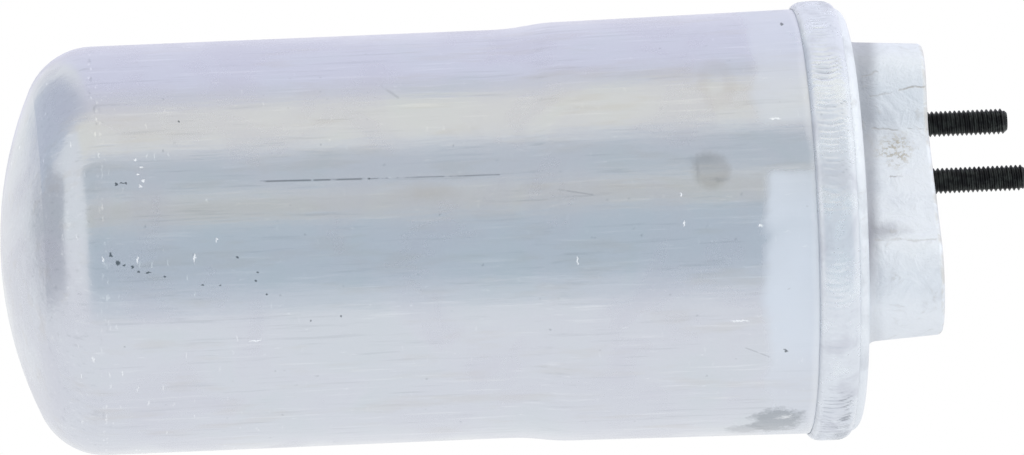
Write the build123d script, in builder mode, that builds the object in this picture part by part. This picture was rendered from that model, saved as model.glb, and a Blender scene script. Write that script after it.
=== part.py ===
from build123d import *
from math import asin, atan2, degrees, pi
import os

os.makedirs("parts", exist_ok=True)

# Receiver filter drier, upright with its header on top, in millimetres.
# The can's axis is Z and z = 0 is the crown of its domed end.

# Can: drawn aluminium, torispherical dome, slight swell in its upper half
can_radius = 44.45
crown_radius = 86.0
knuckle_radius = 15.0
can_wall = 2.6
can_height = 176.8
upper_length = 68.3
swell_length = 15.2
swell_rise = 1.15
mouth_flare = 0.7
seat_below_swell = 5.5
seat_ledge = 1.35

# Header: one forging, a disc on the can's mouth with the connection pad on top
disc_thickness = 8.6
disc_edge_radius = 2.8
spigot_depth = 5.0
spigot_clearance = 0.15
boss_radius = 13.5
boss_depth = 5.0
pad_height = 16.9
pad_draft = 3.5
pad_edge_radius = 1.2
pad_root_radius = 2.5

# Pad outline at its root: a square shoulder with an arm that runs out to the inlet port
shoulder_left_gap = 7.7
shoulder_back_gap = 22.3
shoulder_right = -4.0
shoulder_front = -13.0
shoulder_front_radius = 10.0
shoulder_rear_radius = 14.0
shoulder_right_radius = 5.0
lobe_radius = 13.6
pad_valley_radius = 5.0

# Ports, bored straight down from the pad's face
inlet_rim_gap = 19.5
inlet_bearing = -60.5
outlet_side_gap = 13.4
outlet_y = 0.0
port_radius = 6.6
port_depth = 13.0
port_seat_radius = 8.9
port_seat_depth = 3.4
port_lead_in = 0.8
passage_radius = 4.5

# Studs: M6, screwed into blind holes in the pad
stud_radius = 2.9
stud_chamfer = 1.1
stud_grip = 12.0
tap_radius = 2.5
stud_clearance = 0.05
front_stud_x, front_stud_y, front_stud_stand = -7.5, -13.0, 20.6
back_stud_side_gap, back_stud_back_gap, back_stud_stand = 18.6, 7.0, 19.9

# Weld bead round the joint of can and header
bead_below = 2.5
bead_above = 6.4
bead_height = 1.6
bead_toe_run = 2.1
bead_shoulder_radius = 1.5
bead_clearance = 0.05

# Pick-up tube, pressed into the header's boss, with a strainer at its foot
tube_radius = 6.35
tube_wall = 1.2
tube_socket_depth = 11.0
tube_foot_height = 17.0
fit_clearance = 0.05
plate_tube_clearance = 0.2
screen_radius = 9.0
screen_wall = 0.6
screen_length = 20.0
screen_overlap = 12.0
cap_thickness = 1.0
cap_lip = 3.0
collar_length = 6.0

# Filter pack between the can's inner step and the spring
pack_clearance = 0.2
plate_thickness = 1.2
plate_hole_radius = 1.6
plate_hole_rings = (16.0, 22.5, 29.0, 35.5)
plate_hole_pitch = 7.0
pad_thickness = 4.0
bed_thickness = 26.8

# Compression spring over the filter pack
spring_radius = 16.0
spring_wire = 1.4
spring_turns = 3.25

swell_start = can_height - upper_length
swell_radius = can_radius + swell_rise
mouth_radius = swell_radius + mouth_flare
seat_height = swell_start + seat_below_swell
pack_bore_radius = can_radius - can_wall + seat_ledge
disc_face = can_height + disc_thickness
pad_face = disc_face + pad_height
spigot_foot = can_height - spigot_depth
boss_foot = spigot_foot - boss_depth
lower_plate_top = seat_height + plate_thickness
bed_foot = lower_plate_top + pad_thickness
bed_top = bed_foot + bed_thickness
upper_plate_foot = bed_top + pad_thickness
upper_plate_top = upper_plate_foot + plate_thickness
shoulder_left = shoulder_left_gap - mouth_radius
shoulder_back = mouth_radius - shoulder_back_gap
inlet = Vector(mouth_radius - inlet_rim_gap, 0).rotate(Axis.Z, inlet_bearing)
outlet = Vector(shoulder_left + outlet_side_gap, outlet_y)
stud_places = (
    (front_stud_x, front_stud_y, front_stud_stand),
    (shoulder_left + back_stud_side_gap, shoulder_back - back_stud_back_gap, back_stud_stand),
)


def save(part, label):
    """Label a finished piece and write it as its own STEP file."""
    part.label = label
    export_step(part, f"parts/{label}.step")


def near(height):
    """Range of positions that counts as one height or side."""
    return height - 0.01, height + 0.01


def dome_line(radius, crown, knuckle, apex):
    """Half-profile of a torispherical dome, from the axis out to the wall."""
    crown_angle = degrees(asin((radius - knuckle) / (crown - knuckle)))
    crown_arc = JernArc(start=(0, apex), tangent=(1, 0), radius=crown, arc_size=crown_angle)
    return JernArc(start=crown_arc @ 1, tangent=crown_arc % 1, radius=knuckle, arc_size=90 - crown_angle)


# Can: outer form less the space inside it
with BuildPart() as can:
    with BuildSketch(Plane.XZ) as can_outer:
        with BuildLine():
            knuckle_arc = dome_line(can_radius, crown_radius, knuckle_radius, 0)
            wall = Line(knuckle_arc @ 1, (can_radius, swell_start))
            swell = Bezier(
                wall @ 1,
                (can_radius, swell_start + swell_length / 2),
                (swell_radius, swell_start + swell_length / 2),
                (swell_radius, swell_start + swell_length),
            )
            upper_wall = Line(swell @ 1, (mouth_radius, can_height))
            Polyline(upper_wall @ 1, (0, can_height), (0, 0))
        make_face()
    revolve(axis=Axis.Z)
    with BuildSketch(Plane.XZ) as can_inner:
        with BuildLine():
            inner_knuckle = dome_line(
                can_radius - can_wall, crown_radius - can_wall, knuckle_radius - can_wall, can_wall
            )
            Polyline(
                inner_knuckle @ 1,
                (can_radius - can_wall, seat_height),
                (pack_bore_radius, seat_height),
                (pack_bore_radius, can_height),
                (0, can_height),
                (0, can_wall),
            )
        make_face()
    revolve(axis=Axis.Z, mode=Mode.SUBTRACT)
save(can.part, "can")

# Connection pad's solid, with forging draft on its sides
with BuildPart() as connection_pad:
    with BuildSketch(Plane.XY.offset(disc_face)) as pad_outline:
        with Locations(((shoulder_left + shoulder_right) / 2, (shoulder_front + shoulder_back) / 2)):
            Rectangle(shoulder_right - shoulder_left, shoulder_back - shoulder_front)
        for corner, radius in (
            ((shoulder_left, shoulder_front), shoulder_front_radius),
            ((shoulder_left, shoulder_back), shoulder_rear_radius),
            ((shoulder_right, shoulder_back), shoulder_right_radius),
        ):
            fillet(pad_outline.vertices().sort_by_distance(corner)[0], radius=radius)
        # The arm starts at the middle of the rear corner's rounding
        arm_root = Vector(shoulder_left + shoulder_rear_radius, shoulder_back - shoulder_rear_radius)
        arm = inlet - arm_root
        with Locations((inlet + arm_root) / 2):
            SlotCenterToCenter(arm.length, 2 * lobe_radius, rotation=degrees(atan2(arm.Y, arm.X)))
        front_side = pad_outline.vertices().filter_by_position(Axis.Y, *near(shoulder_front))
        right_side = pad_outline.vertices().filter_by_position(Axis.X, *near(shoulder_right))
        fillet((front_side.sort_by(Axis.X)[-1], right_side.sort_by(Axis.Y)[0]), radius=pad_valley_radius)
    extrude(amount=pad_height)
    pad_sides = connection_pad.faces().filter_by(lambda face: abs(face.normal_at().Z) < 0.5)
    draft(pad_sides, neutral_plane=Plane.XY.offset(disc_face), angle=pad_draft)
    fillet(connection_pad.faces().sort_by(Axis.Z)[-1].edges(), radius=pad_edge_radius)

# Header: disc with its spigot and boss, and the pad with its ports and stud holes
with BuildPart() as header:
    with BuildSketch(Plane.XZ) as disc_profile:
        with BuildLine():
            Polyline(
                (0, boss_foot),
                (boss_radius, boss_foot),
                (boss_radius, spigot_foot),
                (pack_bore_radius - spigot_clearance, spigot_foot),
                (pack_bore_radius - spigot_clearance, can_height),
                (mouth_radius, can_height),
                (mouth_radius, disc_face),
                (0, disc_face),
                close=True,
            )
        make_face()
    revolve(axis=Axis.Z)
    disc_rim = header.edges().filter_by(GeomType.CIRCLE).group_by(Axis.Z)[-1].sort_by(SortBy.RADIUS)[-1]
    fillet(disc_rim, radius=disc_edge_radius)

    add(connection_pad.part)
    disc_flat = header.faces().filter_by(Plane.XY).filter_by_position(Axis.Z, *near(disc_face))[0]
    fillet(disc_flat.inner_wires()[0].edges(), radius=pad_root_radius)

    # Inlet: bored right through into the space over the filter pack
    with Locations((inlet.X, inlet.Y, pad_face)):
        Hole(radius=passage_radius)
    # Outlet: a slanting passage from the port's foot down to the tube's socket on the axis
    socket_top = Vector(0, 0, boss_foot + tube_socket_depth)
    outlet_foot = Vector(outlet.X, outlet.Y, pad_face - port_depth)
    slant = outlet_foot - socket_top
    with BuildSketch(Plane(origin=socket_top, z_dir=slant)):
        Circle(passage_radius)
    extrude(amount=slant.length, mode=Mode.SUBTRACT)
    with Locations((0, 0, boss_foot)):
        Cylinder(
            tube_radius + fit_clearance,
            tube_socket_depth,
            align=(Align.CENTER, Align.CENTER, Align.MIN),
            mode=Mode.SUBTRACT,
        )
    with BuildSketch(Plane.XY.offset(socket_top.Z)):
        Circle(tube_radius - tube_wall)
    extrude(amount=passage_radius, mode=Mode.SUBTRACT)
    # Port bores with a seat for the hose's O-ring
    with Locations((inlet.X, inlet.Y, pad_face), (outlet.X, outlet.Y, pad_face)):
        CounterBoreHole(
            radius=port_radius,
            counter_bore_radius=port_seat_radius,
            counter_bore_depth=port_seat_depth,
            depth=port_depth,
        )
    port_mouths = header.faces().filter_by(GeomType.PLANE).sort_by(Axis.Z)[-1].inner_wires()
    chamfer([wire.edges()[0] for wire in port_mouths], length=port_lead_in)
    # Blind holes for the studs, at their tapping size
    for x, y, stand in stud_places:
        with Locations((x, y, pad_face)):
            Hole(radius=tap_radius, depth=stud_grip + stud_chamfer)
save(header.part, "header")

# Studs: driven to slightly different heights, full thread above the pad and core size in the hole
with BuildPart() as connection_studs:
    for x, y, stand in stud_places:
        with BuildSketch(Plane.XY.offset(pad_face)):
            with Locations((x, y)):
                Circle(stud_radius)
        extrude(amount=stand)
        with BuildSketch(Plane.XY.offset(pad_face - stud_grip)):
            with Locations((x, y)):
                Circle(tap_radius - stud_clearance)
        extrude(amount=stud_grip)
    for stud in connection_studs.solids():
        tip = stud.edges().filter_by(GeomType.CIRCLE).sort_by(Axis.Z)[-1]
        chamfer(tip, length=stud_chamfer)
save(connection_studs.part, "connection_studs")

# Weld bead: closed ring over the joint
with BuildPart() as weld_bead:
    bead_inner = mouth_radius + bead_clearance
    bead_crown_radius = mouth_radius + bead_height
    with BuildSketch(Plane.XZ) as bead_profile:
        with BuildLine():
            Polyline(
                (bead_inner, can_height - bead_below),
                (bead_crown_radius, can_height - bead_below + bead_toe_run),
                (bead_crown_radius, can_height + bead_above - bead_toe_run),
                (bead_inner, can_height + bead_above),
                close=True,
            )
        make_face()
        bead_shoulders = bead_profile.vertices().group_by(Axis.X)[-1]
        fillet(bead_shoulders, radius=bead_shoulder_radius)
    revolve(axis=Axis.Z)
save(weld_bead.part, "weld_bead")


def round_wall(part_name, outer, inner, foot, height):
    """Tube standing at a given height on the axis."""
    with BuildPart() as wall_part:
        with BuildSketch(Plane.XY.offset(foot)):
            Circle(outer)
            Circle(inner, mode=Mode.SUBTRACT)
        extrude(amount=height)
    save(wall_part.part, part_name)


# Pick-up tube: from the socket in the header down to just over the dome
tube_top = boss_foot + tube_socket_depth
round_wall("pickup_tube", tube_radius, tube_radius - tube_wall, tube_foot_height, tube_top - tube_foot_height)

# Strainer: collar pushed on the tube, screen on the collar, cap over the screen's foot
screen_top = tube_foot_height + screen_overlap
screen_foot = screen_top - screen_length
collar_radius = screen_radius - screen_wall
round_wall(
    "strainer_collar", collar_radius, tube_radius + fit_clearance, screen_top - collar_length, collar_length
)
round_wall("strainer_screen", screen_radius, collar_radius + fit_clearance, screen_foot, screen_length)
with BuildPart() as strainer_cap:
    with BuildSketch(Plane.XY.offset(screen_foot - cap_thickness)):
        Circle(screen_radius)
    extrude(amount=cap_thickness)
    with BuildSketch(Plane.XY.offset(screen_foot)):
        Circle(collar_radius)
        Circle(collar_radius - cap_thickness, mode=Mode.SUBTRACT)
    extrude(amount=cap_lip)
save(strainer_cap.part, "strainer_cap")

# Filter pack: plate, felt, beads, felt and plate, all threaded on the tube
pack_radius = pack_bore_radius - pack_clearance
pack_hole_radius = tube_radius + plate_tube_clearance


def perforated_plate(part_name, foot):
    """Round plate with rings of holes and a hole for the tube."""
    with BuildPart() as plate:
        with BuildSketch(Plane.XY.offset(foot)):
            Circle(pack_radius)
            Circle(pack_hole_radius, mode=Mode.SUBTRACT)
            for ring in plate_hole_rings:
                holes = round(2 * pi * ring / plate_hole_pitch)
                with PolarLocations(ring, holes):
                    Circle(plate_hole_radius, mode=Mode.SUBTRACT)
        extrude(amount=plate_thickness)
    save(plate.part, part_name)


perforated_plate("lower_plate", seat_height)
round_wall("lower_pad", pack_radius, pack_hole_radius, lower_plate_top, pad_thickness)
round_wall("desiccant_bed", pack_radius, pack_hole_radius, bed_foot, bed_thickness)
round_wall("upper_pad", pack_radius, pack_hole_radius, bed_top, pad_thickness)
perforated_plate("upper_plate", upper_plate_foot)

# Spring: round wire between the upper plate and the header, its end coils ground flat
with BuildPart() as bed_spring:
    spring_height = spigot_foot - upper_plate_top
    spring_pitch = spring_height / spring_turns
    with BuildLine() as spring_path:
        Helix(
            pitch=spring_pitch,
            height=spring_height,
            radius=spring_radius,
            center=(0, 0, upper_plate_top),
        )
    with BuildSketch(Plane(origin=spring_path.line @ 0, z_dir=spring_path.line % 0)):
        Circle(spring_wire)
    sweep(is_frenet=True)
    with BuildSketch(Plane.XY.offset(upper_plate_top)):
        Circle(spring_radius + 2 * spring_wire)
    extrude(amount=spring_height, mode=Mode.INTERSECT)
save(bed_spring.part, "bed_spring")
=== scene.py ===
import bpy
import math
from mathutils import Matrix, Vector, noise


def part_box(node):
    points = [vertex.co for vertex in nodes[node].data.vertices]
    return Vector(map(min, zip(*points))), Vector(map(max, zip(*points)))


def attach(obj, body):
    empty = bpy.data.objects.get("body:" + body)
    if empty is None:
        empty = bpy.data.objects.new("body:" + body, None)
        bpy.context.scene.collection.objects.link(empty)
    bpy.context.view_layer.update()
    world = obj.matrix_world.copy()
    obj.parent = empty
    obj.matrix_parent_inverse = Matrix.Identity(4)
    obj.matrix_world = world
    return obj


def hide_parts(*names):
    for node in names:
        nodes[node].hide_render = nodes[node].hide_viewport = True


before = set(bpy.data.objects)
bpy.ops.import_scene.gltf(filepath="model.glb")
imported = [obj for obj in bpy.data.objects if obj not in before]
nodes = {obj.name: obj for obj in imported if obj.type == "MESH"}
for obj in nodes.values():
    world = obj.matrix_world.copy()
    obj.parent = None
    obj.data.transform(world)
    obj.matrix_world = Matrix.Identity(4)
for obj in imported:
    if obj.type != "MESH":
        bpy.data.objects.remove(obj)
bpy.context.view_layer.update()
mm = 0.001
eulerNumber = 2.718
mergeGap = 0.000002      # metres: points nearer than this become one


# Camera: long lens, rolled so that the can lies with its header to the right

view = {
    "imageWidth": 1024,
    "imageHeight": 455,
    "pixelsPerMm": 4.6,
    "distance": 4.7,
    "turnAway": 4.2,        # degrees, header end away from the camera
    "axisTilt": 2.413,      # degrees, header end up
    "datumPixel": (100, 250.83),
    "datumHeight": 21.57,   # mm over the crown, where the datum pixel lies on the axis
    "sensorWidth": 36,
    "clipEnd": 60,
}


def makeCamera():
    turn, tilt = math.radians(view["turnAway"]), math.radians(view["axisTilt"])
    right = Vector((math.sin(tilt), -math.cos(tilt) * math.sin(turn), math.cos(tilt) * math.cos(turn)))
    up = Vector((-math.cos(tilt), -math.sin(tilt) * math.sin(turn), math.sin(tilt) * math.cos(turn)))
    back = right.cross(up)
    mmPerPixel = mm / view["pixelsPerMm"]
    aside = (view["imageWidth"] / 2 - view["datumPixel"][0]) * mmPerPixel
    above = (view["datumPixel"][1] - view["imageHeight"] / 2) * mmPerPixel
    target = Vector((0, 0, view["datumHeight"] * mm)) + right * aside + up * above
    bpy.ops.object.camera_add()
    camera = bpy.context.object
    camera.name = "camera"
    camera.matrix_world = Matrix((
        (right.x, up.x, back.x, 0),
        (right.y, up.y, back.y, 0),
        (right.z, up.z, back.z, 0),
        (0, 0, 0, 1),
    ))
    camera.location = target + back * view["distance"]
    camera.data.sensor_fit = "HORIZONTAL"
    camera.data.sensor_width = view["sensorWidth"]
    frameWidth = view["imageWidth"] * mmPerPixel
    camera.data.lens = camera.data.sensor_width * view["distance"] / frameWidth
    camera.data.clip_end = view["clipEnd"]
    bpy.context.scene.camera = camera
    print("camera placed")


# Small helpers for building pieces and node trees

def deselectAll():
    if bpy.context.object and bpy.context.object.mode != "OBJECT":
        bpy.ops.object.mode_set(mode="OBJECT")
    bpy.ops.object.select_all(action="DESELECT")


def applyModifier(piece, kind, **settings):
    bpy.context.view_layer.objects.active = piece
    modifier = piece.modifiers.new(kind.lower(), kind)
    for name, value in settings.items():
        setattr(modifier, name, value)
    bpy.ops.object.modifier_apply(modifier=modifier.name)


def settle(piece, name, nodeName):
    deselectAll()
    piece.select_set(True)
    bpy.context.view_layer.objects.active = piece
    bpy.ops.object.transform_apply(location=True, rotation=True, scale=True)
    piece.name = name
    piece.data.name = name
    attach(piece, "root")
    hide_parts(nodeName)
    print(name, "made with", len(piece.data.polygons), "faces")


def newMaterial(name):
    material = bpy.data.materials.new(name)
    material.use_nodes = True
    tree = material.node_tree
    shader = tree.nodes["Principled BSDF"]
    return material, tree, shader


def feed(tree, node, inputs):
    # a socket is linked, anything else is set as the input's own value
    for socket, value in inputs.items():
        if isinstance(value, bpy.types.NodeSocket):
            tree.links.new(value, node.inputs[socket])
        else:
            node.inputs[socket].default_value = value


def addNode(tree, kind, inputs=None, **settings):
    node = tree.nodes.new(kind)
    for name, value in settings.items():
        setattr(node, name, value)
    feed(tree, node, inputs or {})
    return node


def mathNode(tree, operation, *values, clamp=False):
    node = addNode(tree, "ShaderNodeMath", dict(enumerate(values)), operation=operation, use_clamp=clamp)
    return node.outputs[0]


def times(tree, first, second, clamp=False):
    return mathNode(tree, "MULTIPLY", first, second, clamp=clamp)


def plus(tree, first, second):
    return mathNode(tree, "ADD", first, second)


def minus(tree, first, second):
    return mathNode(tree, "SUBTRACT", first, second)


def mixColour(tree, factor, first, second):
    # inputs 6 and 7 and output 2 are the mix node's colour sockets
    node = addNode(tree, "ShaderNodeMix", data_type="RGBA")
    feed(tree, node, {0: factor, 6: first, 7: second})
    return node.outputs[2]


def ramp(tree, value, low, high, toLow=0.0, toHigh=1.0, smooth=True):
    node = addNode(tree, "ShaderNodeMapRange", {
        "Value": value, "From Min": low, "From Max": high, "To Min": toLow, "To Max": toHigh},
        interpolation_type="SMOOTHSTEP" if smooth else "LINEAR")
    return node.outputs["Result"]


def newGroup(name, inputs, outputs):
    group = bpy.data.node_groups.new(name, "ShaderNodeTree")
    for socketName, kind, default in inputs:
        socket = group.interface.new_socket(name=socketName, in_out="INPUT", socket_type=kind)
        socket.default_value = default
    for socketName, kind in outputs:
        group.interface.new_socket(name=socketName, in_out="OUTPUT", socket_type=kind)
    return group, group.nodes.new("NodeGroupInput"), group.nodes.new("NodeGroupOutput")


def useGroup(tree, group, inputs=None):
    return addNode(tree, "ShaderNodeGroup", inputs, node_tree=group)


def vectorNode(tree, operation, first, second):
    return addNode(tree, "ShaderNodeVectorMath", {0: first, 1: second}, operation=operation).outputs[0]


def noiseNode(tree, place, scale, detail, **inputs):
    return addNode(tree, "ShaderNodeTexNoise", {"Vector": place, "Scale": scale, "Detail": detail, **inputs})


def dressShader(tree, shader, colour, metallic, rough, relief=None, strength=0.0, distance=0.0):
    feed(tree, shader, {"Base Color": colour, "Metallic": metallic, "Roughness": rough})
    if relief is not None:
        bump = addNode(tree, "ShaderNodeBump", {"Height": relief, "Strength": strength, "Distance": distance})
        tree.links.new(bump.outputs[0], shader.inputs["Normal"])


def shakenPlace(tree, place, shake, amount):
    # the place, moved a little by a noise, so that marks laid by it get ragged edges
    centred = vectorNode(tree, "SUBTRACT", shake.outputs["Color"], (0.5, 0.5, 0.5))
    shift = addNode(tree, "ShaderNodeVectorMath", {0: centred, "Scale": amount}, operation="SCALE")
    return addNode(tree, "ShaderNodeVectorMath", {0: place, 1: shift.outputs[0]}).outputs[0]


def onFront(tree, place):
    # 1 on the side that faces -Y, 0 behind
    depth = addNode(tree, "ShaderNodeSeparateXYZ", {0: place}).outputs[1]
    return mathNode(tree, "LESS_THAN", depth, 0.0)


# Shared effects

def makeDrawnGrain():
    # fine lines along the can's axis, with a cloudy change of tone; Lines and Cloud run 0 to 1
    group, given, result = newGroup(
        "drawnGrain",
        [("Position", "NodeSocketVector", (0, 0, 0)), ("Line Scale", "NodeSocketFloat", 900.0),
         ("Stretch", "NodeSocketFloat", 0.012), ("Cloud Scale", "NodeSocketFloat", 22.0)],
        [("Lines", "NodeSocketFloat"), ("Cloud", "NodeSocketFloat"), ("Grit", "NodeSocketFloat")],
    )
    parts = addNode(group, "ShaderNodeSeparateXYZ", {0: given.outputs["Position"]})
    short = times(group, parts.outputs[2], given.outputs["Stretch"])
    along = addNode(group, "ShaderNodeCombineXYZ", {0: parts.outputs[0], 1: parts.outputs[1], 2: short})
    lines = noiseNode(group, along.outputs[0], given.outputs["Line Scale"], 3.0, Roughness=0.6)
    cloud = noiseNode(group, given.outputs["Position"], given.outputs["Cloud Scale"], 4.0, Roughness=0.55,
                      Distortion=0.6)
    grit = noiseNode(group, given.outputs["Position"], 1600.0, 2.0)
    group.links.new(lines.outputs[0], result.inputs["Lines"])
    group.links.new(cloud.outputs[0], result.inputs["Cloud"])
    group.links.new(grit.outputs[0], result.inputs["Grit"])
    return group


def makeStainAndShadePatch():
    # soft-edged ragged patch round a centre, on the side that faces -Y
    group, given, result = newGroup(
        "stainAndShadePatch",
        [("Position", "NodeSocketVector", (0, 0, 0)), ("Centre", "NodeSocketVector", (0, 0, 0)),
         ("Half Width", "NodeSocketFloat", 0.005), ("Half Height", "NodeSocketFloat", 0.005),
         ("Softness", "NodeSocketFloat", 0.3), ("Raggedness", "NodeSocketFloat", 0.4),
         ("Grain Scale", "NodeSocketFloat", 150.0)],
        [("Mask", "NodeSocketFloat"), ("Rim", "NodeSocketFloat")],
    )
    away = vectorNode(group, "SUBTRACT", given.outputs["Position"], given.outputs["Centre"])
    parts = addNode(group, "ShaderNodeSeparateXYZ", {0: away})
    across = mathNode(group, "DIVIDE", parts.outputs[0], given.outputs["Half Width"])
    along = mathNode(group, "DIVIDE", parts.outputs[2], given.outputs["Half Height"])
    reach = mathNode(group, "SQRT", plus(group, times(group, across, across), times(group, along, along)))
    rough = noiseNode(group, given.outputs["Position"], given.outputs["Grain Scale"], 5.0, Roughness=0.65)
    jitter = times(group, minus(group, rough.outputs[0], 0.5), given.outputs["Raggedness"])
    edge = plus(group, reach, times(group, jitter, 4.0))
    inside = mathNode(group, "DIVIDE", minus(group, 1.0, edge), given.outputs["Softness"], clamp=True)
    mask = times(group, inside, onFront(group, given.outputs["Position"]))
    rim = times(group, mask, minus(group, 1.0, inside), clamp=True)
    group.links.new(mask, result.inputs["Mask"])
    group.links.new(rim, result.inputs["Rim"])
    return group


def makeScratchAndShadeLine():
    # thin line between two places, given by their x and z, on the side that faces -Y
    group, given, result = newGroup(
        "scratchAndShadeLine",
        [("Position", "NodeSocketVector", (0, 0, 0)), ("Start", "NodeSocketVector", (0, 0, 0)),
         ("End", "NodeSocketVector", (0, 0, 0)), ("Width", "NodeSocketFloat", 0.0003),
         ("Break Scale", "NodeSocketFloat", 120.0), ("Break", "NodeSocketFloat", 0.45)],
        [("Mask", "NodeSocketFloat")],
    )

    def flat(socket):
        return vectorNode(group, "MULTIPLY", socket, (1.0, 0.0, 1.0))

    def vector(operation, first, second):
        return addNode(group, "ShaderNodeVectorMath", {0: first, 1: second}, operation=operation)

    place, start, end = (flat(given.outputs[name]) for name in ("Position", "Start", "End"))
    run = vector("SUBTRACT", end, start).outputs[0]
    offset = vector("SUBTRACT", place, start).outputs[0]
    share = mathNode(group, "DIVIDE", vector("DOT_PRODUCT", offset, run).outputs[1],
                     vector("DOT_PRODUCT", run, run).outputs[1], clamp=True)
    scaled = addNode(group, "ShaderNodeVectorMath", {0: run, "Scale": share}, operation="SCALE")
    gap = vector("SUBTRACT", offset, scaled.outputs[0]).outputs[0]
    distance = addNode(group, "ShaderNodeVectorMath", {0: gap}, operation="LENGTH").outputs[1]
    inside = mathNode(group, "SUBTRACT", 1.0, mathNode(group, "DIVIDE", distance, given.outputs["Width"]),
                      clamp=True)
    patchy = noiseNode(group, given.outputs["Position"], given.outputs["Break Scale"], 2.0)
    kept = times(group, minus(group, patchy.outputs[0], given.outputs["Break"]), 8.0, clamp=True)
    mask = times(group, times(group, inside, kept), onFront(group, given.outputs["Position"]))
    group.links.new(mask, result.inputs["Mask"])
    return group


def makeSpeckMark():
    # small soft spot at a place given by its x and z, on the side that faces -Y
    group, given, result = newGroup(
        "speckMark",
        [("Position", "NodeSocketVector", (0, 0, 0)), ("Centre", "NodeSocketVector", (0, 0, 0)),
         ("Size", "NodeSocketVector", (0.001, 1.0, 0.001))],
        [("Mask", "NodeSocketFloat")],
    )
    away = vectorNode(group, "SUBTRACT", given.outputs["Position"], given.outputs["Centre"])
    scaled = vectorNode(group, "DIVIDE", away, given.outputs["Size"])
    parts = addNode(group, "ShaderNodeSeparateXYZ", {0: scaled})
    reach = plus(group, times(group, parts.outputs[0], parts.outputs[0]),
                 times(group, parts.outputs[2], parts.outputs[2]))
    inside = times(group, minus(group, 1.0, reach), 1.6, clamp=True)
    mask = times(group, inside, onFront(group, given.outputs["Position"]))
    group.links.new(mask, result.inputs["Mask"])
    return group


def makeNickScatter():
    # thin nicks strewn over a surface; Spread stretches the cells they lie in
    group, given, result = newGroup(
        "nickScatter",
        [("Position", "NodeSocketVector", (0, 0, 0)), ("Spread", "NodeSocketVector", (400, 400, 400)),
         ("Width", "NodeSocketFloat", 0.15), ("Share", "NodeSocketFloat", 0.1)],
        [("Mask", "NodeSocketFloat")],
    )
    cells = vectorNode(group, "MULTIPLY", given.outputs["Position"], given.outputs["Spread"])
    nicks = addNode(group, "ShaderNodeTexVoronoi", {"Vector": cells, "Scale": 1.0})
    inside = mathNode(group, "SUBTRACT", 1.0, mathNode(group, "DIVIDE", nicks.outputs["Distance"],
                                                       given.outputs["Width"]), clamp=True)
    lot = addNode(group, "ShaderNodeSeparateColor", {0: nicks.outputs["Color"]}).outputs[0]
    kept = mathNode(group, "LESS_THAN", lot, given.outputs["Share"])
    group.links.new(times(group, inside, kept), result.inputs["Mask"])
    return group


# Can

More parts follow.
